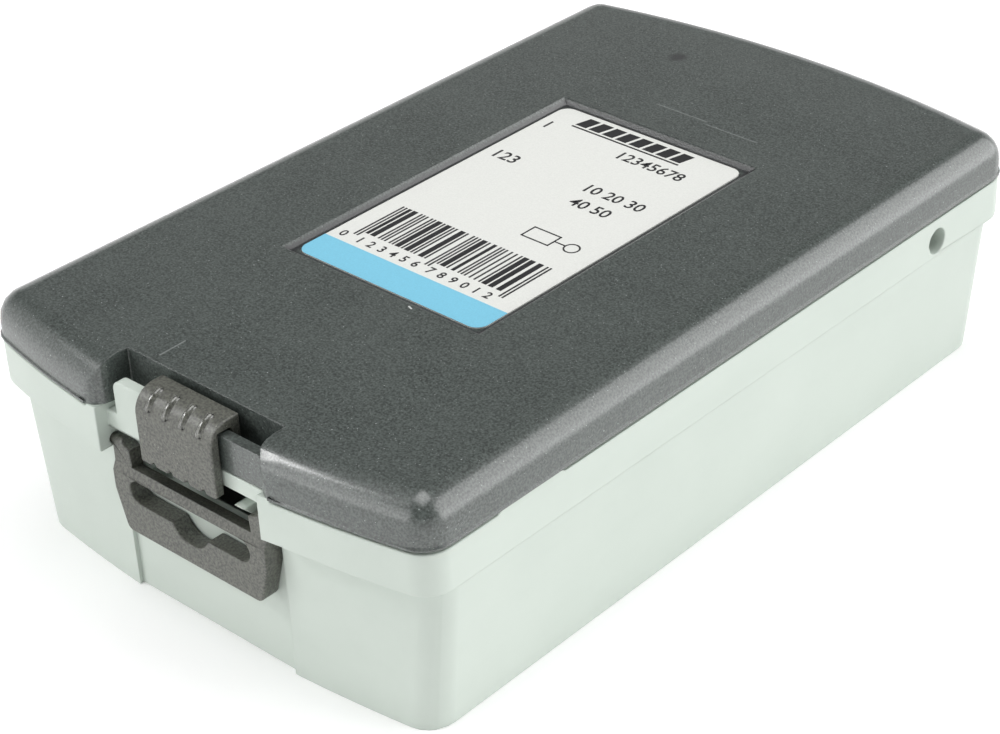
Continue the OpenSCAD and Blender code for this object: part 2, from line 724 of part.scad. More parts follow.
// The fluted length grows with the whole length
flute_share = 0.77;
flute_less = 14.5;
function flute_length(l) = flute_share * l - flute_less;
helix_angle = 28;
flute_turn = 50;       // turn of one facet along the flutes
land_angle = 33;       // half the width of a land
web_share = 0.2;       // half the web's thickness, as a share of the diameter
land_share = 0.48;     // radius of the lands, as a share of the diameter
module flute_section(d) {
    r = land_share * d;
    polygon([r * [cos(land_angle), sin(land_angle)], [0, web_share * d],
             r * [-cos(land_angle), sin(land_angle)], r * [-cos(land_angle), -sin(land_angle)],
             [0, -web_share * d], r * [cos(land_angle), -sin(land_angle)]]);
}
module drill(d) {
    l = drill_length(d);
    tip = d * 0.3;
    fluted = flute_length(l) - tip;
    lead = PI * d / tan(helix_angle);
    turn = 360 * fluted / lead;
    rotate([90, 0, 0]) {
        cylinder(d = d, h = l - tip - fluted, $fn = 24);
        translate([0, 0, l - tip - fluted - eps])
            linear_extrude(fluted + eps, twist = turn, slices = ceil(turn / flute_turn))
                flute_section(d);
        translate([0, 0, l - tip - eps]) rotate([0, 0, -turn])
            linear_extrude(tip + eps, scale = 0.1) flute_section(d);
    }
}
module drill_row(i, row) {
    color(steel_color) for (j = [row : 2 : drill_counts[i] - 1])
        translate([drill_x(i, j), butt_y(i, j), row_z(i, j)]) drill(drill_d(first_drill(i) + j));
}
module drills_front_upper() { drill_row(0, 0); }
module drills_front_lower() { drill_row(0, 1); }
module drills_middle_upper() { drill_row(1, 0); }
module drills_middle_lower() { drill_row(1, 1); }
module drills_rear_upper() { drill_row(2, 0); }
module drills_rear_lower() { drill_row(2, 1); }

// ---- Racks ----
module rack(i) {
    h = rack_hs[i];
    y0 = rack_ys[i] - rack_fronts[i];
    y1 = rack_ys[i] + rack_back;
    z0 = rack_zs[i] - h / 2;
    c = 0.8;
    color(rack_color) difference() {
        union() {
            along_x(-lever_x0, lever_x0)
                polygon([[y0 + row_step, z0], [y1 - c, z0], [y1, z0 + c], [y1, z0 + h - c],
                         [y1 - c, z0 + h], [y0, z0 + h], [y0, rack_zs[i]],
                         [y0 + row_step, rack_zs[i]]]);
            both_sides() {
                rod_x(rack_pivot(i), rack_back, lever_x0 - eps, lever_x1);
                rod_x(crank_pin(i), eye_r, lever_x0 - eps, lever_x1);
                bar(rack_pivot(i), crank_pin(i), 2 * eye_r, lever_x0 - eps, lever_x1);
                rod_x(rack_pivot(i), rack_pivot_r(i), lever_x1 - eps, pin_end(i));
                rod_x(crank_pin(i), crank_r, lever_x1 - eps, link_x1);
            }
        }
        for (j = [0 : drill_counts[i] - 1])
            translate([drill_x(i, j), butt_y(i, j), row_z(i, j)]) rotate([90, 0, 0])
                cylinder(d = drill_d(first_drill(i) + j) + 2 * socket_gap, h = socket_d + cut,
                         $fn = 24);
    }
}
module rack_front() { rack(0); }
module rack_middle() { rack(1); }
module rack_rear() { rack(2); }

// ---- Side links ----
module side_link() {
    pins = [crank_pin(0), crank_pin(1), crank_pin(2), lid_crank];
    color(rack_color) difference() {
        union() {
            for (p = pins) rod_x(p, eye_r, link_x0, link_x1);
            for (k = [0 : 2]) bar(pins[k], pins[k + 1], link_w, link_x0, link_x1);
        }
        for (p = pins) rod_x(p, crank_r + pivot_gap, link_x0 - cut, link_x1 + cut);
    }
}
module side_link_right() { side_link(); }
module side_link_left() { mirror([1, 0, 0]) side_link(); }

body();
lid();
label();
latch();
hanger();
hinge_pin_left();
hinge_pin_right();
rack_front();
rack_middle();
rack_rear();
side_link_left();
side_link_right();
drills_front_lower();
drills_front_upper();
drills_middle_lower();
drills_middle_upper();
drills_rear_lower();
drills_rear_upper();
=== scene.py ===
"""Looks of the drill bit case: finished shells, printed label, fluted drills, studio light and camera."""
import json
import math
import random

import bmesh
import bpy
from mathutils import Matrix, Vector
from mathutils.bvhtree import BVHTree

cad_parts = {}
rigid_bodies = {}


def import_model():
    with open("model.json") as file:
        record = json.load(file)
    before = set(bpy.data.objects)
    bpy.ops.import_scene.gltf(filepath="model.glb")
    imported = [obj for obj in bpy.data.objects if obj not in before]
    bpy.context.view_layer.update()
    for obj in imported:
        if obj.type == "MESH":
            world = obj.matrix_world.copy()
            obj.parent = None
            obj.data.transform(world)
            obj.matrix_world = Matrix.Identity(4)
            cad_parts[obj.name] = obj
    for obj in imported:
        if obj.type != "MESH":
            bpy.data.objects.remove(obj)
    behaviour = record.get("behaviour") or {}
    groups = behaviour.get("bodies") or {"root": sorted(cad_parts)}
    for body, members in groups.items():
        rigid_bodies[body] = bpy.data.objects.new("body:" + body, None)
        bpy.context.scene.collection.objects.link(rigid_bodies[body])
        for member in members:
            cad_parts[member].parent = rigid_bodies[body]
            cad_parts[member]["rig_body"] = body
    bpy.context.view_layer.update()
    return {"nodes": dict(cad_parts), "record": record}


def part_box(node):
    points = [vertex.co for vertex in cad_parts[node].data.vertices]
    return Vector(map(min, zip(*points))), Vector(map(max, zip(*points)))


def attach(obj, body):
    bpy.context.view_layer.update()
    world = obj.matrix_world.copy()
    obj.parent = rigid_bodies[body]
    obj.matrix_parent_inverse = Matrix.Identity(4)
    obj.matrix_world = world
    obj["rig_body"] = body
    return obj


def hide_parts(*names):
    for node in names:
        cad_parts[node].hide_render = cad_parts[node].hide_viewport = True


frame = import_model()
NODES = frame["nodes"]

MM = 0.001

# ---- Edges: what counts as sharp, in line or level, and the room that a rounding needs in its widths ----
SHARP = math.radians(32)
LEVEL = math.radians(0.5)
IN_LINE = math.cos(math.radians(20))
ROOM = 2.5
ROUND_STEPS = 3
STRAY_SHARE = 0.45
WELD = 0.002 * MM
FLAT_TURN = math.radians(0.2)
SHADE_WEIGHT = 90
EDGES = {
    "body": 0.22 * MM, "lid": 0.2 * MM, "latch": 0.3 * MM, "hanger": 0.25 * MM,
    "rack_front": 0.12 * MM, "rack_middle": 0.12 * MM, "rack_rear": 0.12 * MM,
    "side_link_left": 0.12 * MM, "side_link_right": 0.12 * MM,
    "hinge_pin_left": 0.1 * MM, "hinge_pin_right": 0.1 * MM,
}

# ---- Colours, linear ----
SHELL = (0.605, 0.668, 0.612)
SHELL_DEEP = (0.563, 0.627, 0.572)
LID = (0.095, 0.113, 0.104)
LID_DEEP = (0.024, 0.030, 0.027)
LID_SPECK = (0.38, 0.41, 0.40)
CLIP = (0.128, 0.132, 0.109)
CLIP_DEEP = (0.034, 0.035, 0.029)
CLIP_SPECK = (0.34, 0.34, 0.30)
RACK = (0.060, 0.064, 0.064)
RACK_DEEP = (0.042, 0.045, 0.045)
FILM = (0.800, 0.810, 0.775)
BAND = (0.225, 0.600, 0.790)
# Dark ink of the print and the gate mark, also the colour of the painted shade in the lid's recess
INK_AND_SHADE = (0.018, 0.018, 0.020)
PRINT = (0.62, 0.64, 0.62)
STEEL = (0.56, 0.57, 0.58)
STEEL_DEEP = (0.34, 0.35, 0.37)
FLOOR = (0.95, 0.95, 0.95)
FLOOR_LIFT = 0.16

# ---- Grains ----
# Sizes, spans of noise that turn deep into full colour, and (strength, depth) of bumps
SOFT_EDGE = 0.3 * MM
GLOSS_ROUGHNESS = 0.14

CLOUD, CLOUD_SPAN, CLOUD_WASH = 14 * MM, (0.35, 0.75), 0.2
GRAIN_SPAN, GRAIN_BUMP = (0.35, 0.65), 0.45
WAVE, WAVE_BUMP = 3 * MM, (0.2, 0.02 * MM)
SPECK_SHARE, SPECK_FADE = 0.8, 0.06
SMOOTHER, ROUGHER = 0.03, 0.05

SHELL_CLOUD, SHELL_CLOUD_SPAN = 22 * MM, (0.3, 0.7)
SHELL_STREAK, SHELL_STREAK_SPAN, SHELL_STRETCH = 9 * MM, (0.35, 0.8), (1, 0.15, 1)
SHELL_ROUGHNESS = (0.32, 0.44)
ORANGE_PEEL, PEEL_BUMP = 0.9 * MM, (0.12, 0.02 * MM)
SHELL_GRAIN, SHELL_GRAIN_BUMP = 0.16 * MM, (0.08, 0.01 * MM)

FILM_GRAIN, FILM_SPAN, FILM_DEEP, FILM_BUMP = 0.25 * MM, (0.25, 0.75), 0.9, (0.1, 0.005 * MM)
FILM_WAVE, FILM_WAVE_BUMP = 12 * MM, (0.15, 0.1 * MM)

GRIND, GRIND_SPAN, GRIND_STRETCH = 0.35 * MM, (0.25, 0.75), (0.3, 1, 0.3)
GRIND_BUMP = (0.15, 0.01 * MM)
GRIND_SMOOTHER, GRIND_ROUGHER = 0.08, 0.12

PAPER_GRAIN, PAPER_SPAN, PAPER_DEEP = 0.8 * MM, (0.2, 0.8), 0.99

# ---- Marks on the lid, and painted shade in its label recess ----
LID_TOP = 43.3 * MM
STROKE_CORE = 0.4


def on_lid(x, y):
    return (x * MM, y * MM, LID_TOP)


# Middle lines of the recess walls, darkened low down by painted shade: half width, half length, height
WALL_X, WALL_Y, WALL_Z = 20.9 * MM, 34.3 * MM, 42.45 * MM
# Width and strength of the painted shade along the recess walls
WALL_SHADE_W, WALL_SHADE = 1.15 * MM, 0.8
WALL_CORNERS = [(x * WALL_X, y * WALL_Y, WALL_Z) for x, y in ((-1, -1), (-1, 1), (1, 1), (1, -1))]
WALL_LINES = zip(WALL_CORNERS, WALL_CORNERS[1:] + WALL_CORNERS[:1])

# Start, end, width, strength and colour of each mark: painted shade on the recess walls, scratches, a nick
# and the gate mark
LID_MARKS_AND_SHADE = [
    # Painted shade along the four recess walls, in the dark ink colour
    *((start, end, WALL_SHADE_W, WALL_SHADE, INK_AND_SHADE) for start, end in WALL_LINES),
    (on_lid(-7.2, 43.2), on_lid(4.3, 43.2), 0.20 * MM, 0.3, LID_SPECK),
    (on_lid(5.0, 42.3), on_lid(16.1, 42.3), 0.20 * MM, 0.3, LID_SPECK),
    (on_lid(-11.7, -69.4), on_lid(-11.8, -64.3), 0.2 * MM, 0.4, LID_SPECK),
    (on_lid(7.6, -35.6), on_lid(8.4, -35.9), 0.2 * MM, 1.0, PRINT),
    (on_lid(-16.6, 60.8), on_lid(-16.5, 60.8), 2.2 * MM, 0.8, INK_AND_SHADE),
]


# ---- Materials ----
def shader(name, roughness, metallic=0.0, specular=0.5, gloss=0.0):
    """A material with its Principled shader, ready for its colour and bump."""
    mat = bpy.data.materials.new(name)
    mat.use_nodes = True
    bsdf = mat.node_tree.nodes["Principled BSDF"]
    bsdf.inputs["Roughness"].default_value = roughness
    bsdf.inputs["Metallic"].default_value = metallic
    bsdf.inputs["Specular IOR Level"].default_value = specular
    bsdf.inputs["Coat Weight"].default_value = gloss
    bsdf.inputs["Coat Roughness"].default_value = GLOSS_ROUGHNESS
    return mat, bsdf


def add_node(mat, kind, **values):
    node = mat.node_tree.nodes.new(kind)
    for key, value in values.items():
        if key in node.inputs:
            node.inputs[key].default_value = value
        else:
            setattr(node, key, value)
    return node


def noise(mat, size, detail=2.0, stretch=(1, 1, 1)):
    """Noise whose grains are about size metres wide, in the object's own space."""
    links = mat.node_tree.links
    where = add_node(mat, "ShaderNodeTexCoord")
    mapping = add_node(mat, "ShaderNodeMapping", Scale=stretch)
    grain = add_node(mat, "ShaderNodeTexNoise", Scale=1 / size, Detail=detail)
    links.new(where.outputs["Object"], mapping.inputs["Vector"])
    links.new(mapping.outputs["Vector"], grain.inputs["Vector"])
    return grain.outputs["Fac"]


def ramp(mat, value, low, high):
    """Stretches value so that low gives 0 and high gives 1."""
    node = add_node(mat, "ShaderNodeMapRange", clamp=True)
    node.inputs["From Min"].default_value = low
    node.inputs["From Max"].default_value = high
    mat.node_tree.links.new(value, node.inputs["Value"])
    return node.outputs["Result"]


def spread(mat, value, low, high):
    """Turns 0 to 1 into low to high."""
    node = add_node(mat, "ShaderNodeMapRange")
    node.inputs["To Min"].default_value = low
    node.inputs["To Max"].default_value = high
    mat.node_tree.links.new(value, node.inputs["Value"])
    return node.outputs["Result"]


# The Mix node's colour sockets share their names with its other sockets, so they go by number
MIX_A, MIX_B, MIX_RESULT = 6, 7, 2


def blend_colors(mat, factor, a, b):
    """Mixes two colours or sockets by factor."""
    node = add_node(mat, "ShaderNodeMix", data_type="RGBA")
    links = mat.node_tree.links
    links.new(factor, node.inputs["Factor"])
    for socket, value in ((node.inputs[MIX_A], a), (node.inputs[MIX_B], b)):
        if isinstance(value, tuple):
            socket.default_value = (*value, 1)
        else:
            links.new(value, socket)
    return node.outputs[MIX_RESULT]


def bump(mat, bsdf, heights, rounding=0.0):
    """Bump from several (height, strength, depth) layers on softened edges."""
    links = mat.node_tree.links
    normal = None
    if rounding:
        normal = add_node(mat, "ShaderNodeBevel", Radius=rounding).outputs["Normal"]
    for height, strength, depth in heights:
        node = add_node(mat, "ShaderNodeBump", Strength=strength, Distance=depth)
        links.new(height, node.inputs["Height"])
        if normal:
            links.new(normal, node.inputs["Normal"])
        normal = node.outputs["Normal"]
    links.new(normal, bsdf.inputs["Normal"])


def stroke(mat, start, end, width):
    """Mask that is 1 on a straight stroke between two points of the piece and fades to 0 beside it."""
    links = mat.node_tree.links
    start, end = Vector(start), Vector(end)
    along = (end - start).normalized()

    def vector_math(operation, *values):
        node = add_node(mat, "ShaderNodeVectorMath", operation=operation)
        for socket, value in zip(node.inputs, values):
            if isinstance(value, Vector):
                socket.default_value = value
            else:
                links.new(value, socket)
        return node

    where = add_node(mat, "ShaderNodeTexCoord").outputs["Object"]
    away = vector_math("SUBTRACT", where, start).outputs["Vector"]
    reach = vector_math("DOT_PRODUCT", away, along).outputs["Value"]
    inside = add_node(mat, "ShaderNodeClamp")
    inside.inputs["Max"].default_value = (end - start).length
    links.new(reach, inside.inputs["Value"])
    foot = vector_math("SCALE", along)
    links.new(inside.outputs["Result"], foot.inputs["Scale"])
    gap = vector_math("DISTANCE", away, foot.outputs["Vector"]).outputs["Value"]
    return ramp(mat, gap, width, STROKE_CORE * width)


def grained_plastic(name, color, deep, speck, roughness, grain, grain_depth, speck_from, specular=0.5,
                    gloss=0.0, marks=()):
    """Moulded plastic with an eroded grain, cloudy tone, fine bright specks and single marks: wear, and
    painted shade on the lid.
    """
    mat, bsdf = shader(name, roughness, specular=specular, gloss=gloss)
    links = mat.node_tree.links
    fine = noise(mat, grain, 3)
    cloud = noise(mat, CLOUD, 4)
    tone = blend_colors(mat, ramp(mat, fine, *GRAIN_SPAN), deep, color)
    tone = blend_colors(mat, spread(mat, ramp(mat, cloud, *CLOUD_SPAN), 0.0, CLOUD_WASH), tone, color)
    specks = ramp(mat, noise(mat, grain * SPECK_SHARE, 1), speck_from, speck_from + SPECK_FADE)
    tone = blend_colors(mat, specks, tone, speck)
    # Wear marks, and painted shade where a mark stands for shade in a recess, blended over the tone
    for start, end, width, strength, mark in marks:
        tone = blend_colors(mat, spread(mat, stroke(mat, start, end, width), 0.0, strength), tone, mark)
    links.new(tone, bsdf.inputs["Base Color"])
    links.new(spread(mat, cloud, roughness - SMOOTHER, roughness + ROUGHER), bsdf.inputs["Roughness"])
    bump(mat, bsdf, [(fine, GRAIN_BUMP, grain_depth), (noise(mat, WAVE, 2), *WAVE_BUMP)], SOFT_EDGE)
    return mat


def shell_plastic():
    """Pale glossy plastic with faint clouds and a slight orange peel."""
    mat, bsdf = shader("shell_plastic", 0.36)
    cloud = noise(mat, SHELL_CLOUD, 4)
    streak = noise(mat, SHELL_STREAK, 3, stretch=SHELL_STRETCH)
    tone = blend_colors(mat, ramp(mat, cloud, *SHELL_CLOUD_SPAN), SHELL_DEEP, SHELL)
    tone = blend_colors(mat, ramp(mat, streak, *SHELL_STREAK_SPAN), tone, SHELL)
    mat.node_tree.links.new(tone, bsdf.inputs["Base Color"])
    mat.node_tree.links.new(spread(mat, streak, *SHELL_ROUGHNESS), bsdf.inputs["Roughness"])
    bump(mat, bsdf, [(noise(mat, ORANGE_PEEL, 3), *PEEL_BUMP),
                     (noise(mat, SHELL_GRAIN, 2), *SHELL_GRAIN_BUMP)], SOFT_EDGE)
    return mat


def film(name, color, roughness):
    """Printed film: a fine even tone with faint waves."""
    mat, bsdf = shader(name, roughness)
    fine = noise(mat, FILM_GRAIN, 3)
    deep = tuple(FILM_DEEP * c for c in color)
    tone = blend_colors(mat, ramp(mat, fine, *FILM_SPAN), deep, color)
    mat.node_tree.links.new(tone, bsdf.inputs["Base Color"])
    bump(mat, bsdf, [(noise(mat, FILM_WAVE, 2), *FILM_WAVE_BUMP), (fine, *FILM_BUMP)])
    return mat


def ground_steel(name, color, deep, roughness):
    """Ground steel with fine marks round it and a slightly uneven polish."""
    mat, bsdf = shader(name, roughness, metallic=1.0)
    marks = noise(mat, GRIND, 4, stretch=GRIND_STRETCH)
    tone = blend_colors(mat, ramp(mat, marks, *GRIND_SPAN), deep, color)
    mat.node_tree.links.new(tone, bsdf.inputs["Base Color"])
    polish = spread(mat, marks, roughness - GRIND_SMOOTHER, roughness + GRIND_ROUGHER)
    mat.node_tree.links.new(polish, bsdf.inputs["Roughness"])
    bump(mat, bsdf, [(marks, *GRIND_BUMP)])
    return mat


# ---- Geometry helpers ----
def new_piece(name, bm, materials, body, replaced=()):
    mesh = bpy.data.meshes.new(name)
    bm.to_mesh(mesh)
    bm.free()
    piece = bpy.data.objects.new(name, mesh)
    bpy.context.scene.collection.objects.link(piece)
    for mat in materials:
        mesh.materials.append(mat)
    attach(piece, body)
    if replaced:
        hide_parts(*replaced)
    return piece


def is_roomy(side, edge):
    """True where a rounding of this width has room beside an edge and at its two ends."""
    need = ROOM * edge
    start, along = side.verts[0].co, (side.verts[1].co - side.verts[0].co).normalized()
    for face in side.link_faces:
        if max(((vert.co - start).cross(along)).length for vert in face.verts) < need:
            return False
    for vert in side.verts:
        for other in vert.link_edges:
            if other is side:
                continue
            away = other.other_vert(vert).co - vert.co
            if other.calc_face_angle(0) < LEVEL:
                return False
            if away.length < need and abs(along.dot(away.normalized())) < IN_LINE:
                return False
    return True


def rounded_edges(bm, edge):
    """Rounds the sharp edges of a solid where there is room, and stays close to its surface."""
    share = bm.edges.layers.float.new("bevel_weight_edge")
    for side in bm.edges:
        if len(side.link_faces) == 2 and side.calc_face_angle(0) > SHARP and is_roomy(side, edge):
            side[share] = 1.0
    solid = bm.copy()
    bmesh.ops.triangulate(solid, faces=solid.faces)
    surface = BVHTree.FromBMesh(solid)
    solid.free()
    rough = bpy.data.meshes.new("rough")
    bm.to_mesh(rough)
    holder = bpy.data.objects.new("rough", rough)
    bpy.context.scene.collection.objects.link(holder)
    rounding = holder.modifiers.new("edges", "BEVEL")
    rounding.width = edge
    rounding.segments = ROUND_STEPS
    rounding.limit_method = "WEIGHT"
    rounding.miter_outer = "MITER_ARC"
    rounding.use_clamp_overlap = False
    rounded = bpy.data.meshes.new_from_object(holder.evaluated_get(bpy.context.evaluated_depsgraph_get()))
    bm.clear()
    bm.from_mesh(rounded)
    for vert in bm.verts:
        place, _, _, distance = surface.find_nearest(vert.co)
        if distance > STRAY_SHARE * edge:
            vert.co = place
    bpy.data.objects.remove(holder)
    bpy.data.meshes.remove(rough)
    bpy.data.meshes.remove(rounded)


def finished_shell(node, body, material, edge):
    """The node's own shape with its edges broken by a small radius and smooth shading."""
    bm = bmesh.new()
    bm.from_mesh(NODES[node].data)
    bmesh.ops.remove_doubles(bm, verts=bm.verts, dist=WELD)
    bmesh.ops.dissolve_limit(bm, angle_limit=FLAT_TURN, verts=bm.verts, edges=bm.edges)
    rounded_edges(bm, edge)
    for face in bm.faces:
        face.smooth = True
        face.material_index = 0
    for side in bm.edges:
        side.smooth = side.is_manifold and side.calc_face_angle(0) < SHARP
    piece = new_piece(node + "_finished", bm, [material], body, [node])
    shading = piece.modifiers.new("shading", "WEIGHTED_NORMAL")
    shading.weight = SHADE_WEIGHT
    shading.keep_sharp = True


def prism(bm, loop, z0, z1):
    """Adds a flat-topped solid over a closed loop of (x, y) points."""
    low = [bm.verts.new((x, y, z0)) for x, y in loop]
    high = [bm.verts.new((x, y, z1)) for x, y in loop]
    bm.faces.new(high)
    bm.faces.new(low[::-1])
    for i in range(len(loop)):
        j = (i + 1) % len(loop)
        bm.faces.new((low[i], low[j], high[j], high[i]))


def rounded_rect(x0, x1, y0, y1, radii, steps=8):
    """Loop of a rectangle with the corner radii (x1 y1), (x0 y1), (x0 y0), (x1 y0)."""
    corners = [(x1, y1, 0), (x0, y1, 90), (x0, y0, 180), (x1, y0, 270)]
    loop = []
    for (x, y, start), r in zip(corners, radii):
        if r <= 0:
            loop.append((x, y))
            continue
        cx = x - math.copysign(r, x - (x0 + x1) / 2)
        cy = y - math.copysign(r, y - (y0 + y1) / 2)
        for k in range(steps + 1):
            a = math.radians(start + 90 * k / steps)
            loop.append((cx + r * math.cos(a), cy + r * math.sin(a)))
    return loop


def add_text(bm, text, height, place, depth, bold=0.0):
    """Adds plain numbers as thin solids; place is the matrix that puts them on their face."""
    curve = bpy.data.curves.new("numbers", "FONT")
    curve.body = text
    curve.size = height
    curve.offset = bold
    curve.extrude = depth / 2
    curve.resolution_u = 3
    curve.align_x = "CENTER"
    curve.align_y = "CENTER"
    holder = bpy.data.objects.new("numbers", curve)
    bpy.context.scene.collection.objects.link(holder)
    bpy.context.view_layer.update()
    mesh = bpy.data.meshes.new_from_object(holder.evaluated_get(bpy.context.evaluated_depsgraph_get()))
    mesh.transform(place)
    bm.from_mesh(mesh)
    bpy.data.objects.remove(holder)
    bpy.data.curves.remove(curve)
    bpy.data.meshes.remove(mesh)


# ---- Camera and light ----
CAMERA_AT = (246.16 * MM, -263.59 * MM, 239.45 * MM)
CAMERA_TURN = (57.641, 0.31, 39.319)
CAMERA_LENS = 88.4
CAMERA_SHIFT = -0.160
CAMERA_SENSOR = 36
CAMERA_CLIP = (0.01, 20)


def make_camera():
    data = bpy.data.cameras.new("camera")
    data.lens = CAMERA_LENS
    data.sensor_width = CAMERA_SENSOR
    data.shift_x = CAMERA_SHIFT
    data.clip_start, data.clip_end = CAMERA_CLIP
    camera = bpy.data.objects.new("camera", data)
    camera.location = CAMERA_AT
    camera.rotation_euler = [math.radians(a) for a in CAMERA_TURN]
    bpy.context.scene.collection.objects.link(camera)
    bpy.context.scene.camera = camera


# Softboxes: direction from the case, side of the square, power
SOFTBOXES = {
    "key": ((-0.56, -0.50, 0.61), 0.6, 16.0),
    "front": ((-0.35, -0.90, 0.35), 1.4, 11.6),
    "top": ((0.0, 0.0, 1.0), 1.8, 30.0),
    "rim": ((0.62, 0.62, 0.34), 2.8, 62.0),
}
LAMP_DISTANCE = 2.4


def softbox(name, direction, side, power):
    """A square area light that faces the case."""
    data = bpy.data.lights.new(name, "AREA")
    data.shape = "SQUARE"
    data.size = side
    data.energy = power
    lamp = bpy.data.objects.new(name, data)
    lamp.location = Vector(direction).normalized() * LAMP_DISTANCE
    lamp.rotation_euler = (-lamp.location).to_track_quat("-Z", "Y").to_euler()
    bpy.context.scene.collection.objects.link(lamp)


HORIZON, ZENITH = 0.9, 0.12
RISE = (0.20, 0.42)
FLOOR_HALF = 3


def make_world():
    """Soft light that is white round the horizon and dimmer overhead; RISE bounds the change."""
    world = bpy.data.worlds.new("studio")
    bpy.context.scene.world = world
    world.use_nodes = True
    tree = world.node_tree
    background = tree.nodes["Background"]
    background.inputs["Color"].default_value = (1, 1, 1, 1)
    where = tree.nodes.new("ShaderNodeTexCoord")
    axes = tree.nodes.new("ShaderNodeSeparateXYZ")
    level = tree.nodes.new("ShaderNodeMapRange")
    level.interpolation_type = "SMOOTHSTEP"
    level.inputs["From Min"].default_value, level.inputs["From Max"].default_value = RISE
    level.inputs["To Min"].default_value = HORIZON
    level.inputs["To Max"].default_value = ZENITH
    tree.links.new(where.outputs["Generated"], axes.inputs["Vector"])
    tree.links.new(axes.outputs["Z"], level.inputs["Value"])
    tree.links.new(level.outputs["Result"], background.inputs["Strength"])


def seen_strength(mat, bsdf):
    """Lifts the paper to white for the rays that look at it, so that it lights nothing."""
    links = mat.node_tree.links
    path = add_node(mat, "ShaderNodeLightPath")
    seen = path.outputs["Is Camera Ray"]
    for kind in ("Is Glossy Ray", "Is Transmission Ray"):
        total = add_node(mat, "ShaderNodeMath", operation="ADD")
        links.new(seen, total.inputs[0])
        links.new(path.outputs[kind], total.inputs[1])
        seen = total.outputs["Value"]
    links.new(spread(mat, seen, 0.0, FLOOR_LIFT), bsdf.inputs["Emission Strength"])


def make_floor():
    mat, bsdf = shader("floor_paper", 0.9, specular=0.1)
    grain = noise(mat, PAPER_GRAIN, 3)
    tone = blend_colors(mat, ramp(mat, grain, *PAPER_SPAN), tuple(PAPER_DEEP * c for c in FLOOR), FLOOR)
    mat.node_tree.links.new(tone, bsdf.inputs["Base Color"])
    bsdf.inputs["Emission Color"].default_value = (1, 1, 1, 1)
    seen_strength(mat, bsdf)
    bm = bmesh.new()
    bmesh.ops.create_grid(bm, x_segments=1, y_segments=1, size=FLOOR_HALF)
    mesh = bpy.data.meshes.new("floor")
    bm.to_mesh(mesh)
    bm.free()
    floor = bpy.data.objects.new("floor", mesh)
    mesh.materials.append(mat)
    bpy.context.scene.collection.objects.link(floor)


# ---- Label ----
LABEL_CORNER = 2.2 * MM
PRINT_H = 0.03 * MM
BAND_W = 6.6 * MM


def make_label(film_mat, band_mat, ink_mat):
    low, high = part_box("label")
    bm = bmesh.new()
    prism(bm, rounded_rect(low.x, high.x, low.y, high.y, [LABEL_CORNER] * 4, 12), low.z, high.z)
    new_piece("label_film", bm, [film_mat], "lid", ["label"])
    z0, z1 = high.z, high.z + PRINT_H
    bm = bmesh.new()
    band = rounded_rect(low.x, high.x, low.y, low.y + BAND_W, [0, 0, LABEL_CORNER, LABEL_CORNER], 12)
    prism(bm, band, z0, z1)
    new_piece("label_band", bm, [band_mat], "lid")
    bm = bmesh.new()
    print_bars(bm, z0, z1)
    print_marks(bm, z0, z1)
    new_piece("label_print", bm, [ink_mat], "lid")


# The print, in mm: bars, digits below them, numbers, header blocks with a rule under them, and a sign
BARS_X = (-16.7, 16.5)
BARS_Y = (-22.4, -12.0)
GUARD_DROP = 1.4
BAR_MODULES = 95
DIGITS_Y = -24.7
DIGIT_H = 2.6
DIGIT_COUNT = 12
FIRST_DIGIT_X = -18.0
DIGITS_X, DIGIT_STEP, DIGIT_SPLIT = -14.2, 2.5, 0.8
PRINTED = [("1", 3.6, -18.0, 25.8)]
LOWER_PRINTED = [("12345678", 3.7, 6.3, 24.7), ("123", 3.9, -15.6, 12.0), ("10 20 30", 3.7, 8.8, 12.1),
                 ("40 50", 3.7, 8.0, 7.0)]
HEADER_X, HEADER_STEP, HEADER_W, HEADER_COUNT = -14.2, 3.05, 2.4, 8
HEADER_Y, HEADER_LEAN = (28.9, 32.2), 0.8
HEADER_RULE = (-14.4, 9.8, 28.0, 28.4)
SIGN_RULES = [(5.0, 11.0, -7.0, -6.7), (5.0, 11.0, -3.6, -3.3), (5.0, 5.3, -7.0, -3.3),
              (10.7, 11.0, -7.0, -3.3), (11.0, 13.2, -5.3, -5.0)]
SIGN_RING_AT, SIGN_RING_R = (14.6, -5.15), (1.5, 1.2)
INK_SWELL = 0.035 * MM


def print_bars(bm, z0, z1):
    """Upright bars of one to three modules with longer guards at both ends and in the middle."""
    draw = random.Random(7)
    module = (BARS_X[1] - BARS_X[0]) * MM / BAR_MODULES
    middle = BAR_MODULES // 2
    guards = (0, 2, middle - 1, middle + 1, BAR_MODULES - 3, BAR_MODULES - 1)
    spans = [(start, 1, GUARD_DROP) for start in guards]
    for first, last in ((4, middle - 3), (middle + 3, BAR_MODULES - 5)):
        start = first
        while start < last:
            width = min(draw.choice([1, 1, 2, 3]), last - start)
            spans.append((start, width, 0))
            start += width + draw.choice([1, 1, 2])
    for start, width, drop in spans:
        x0 = BARS_X[0] * MM + start * module
        y0, y1 = (BARS_Y[0] - drop) * MM, BARS_Y[1] * MM
        prism(bm, rounded_rect(x0, x0 + width * module, y0, y1, [0] * 4), z0, z1)


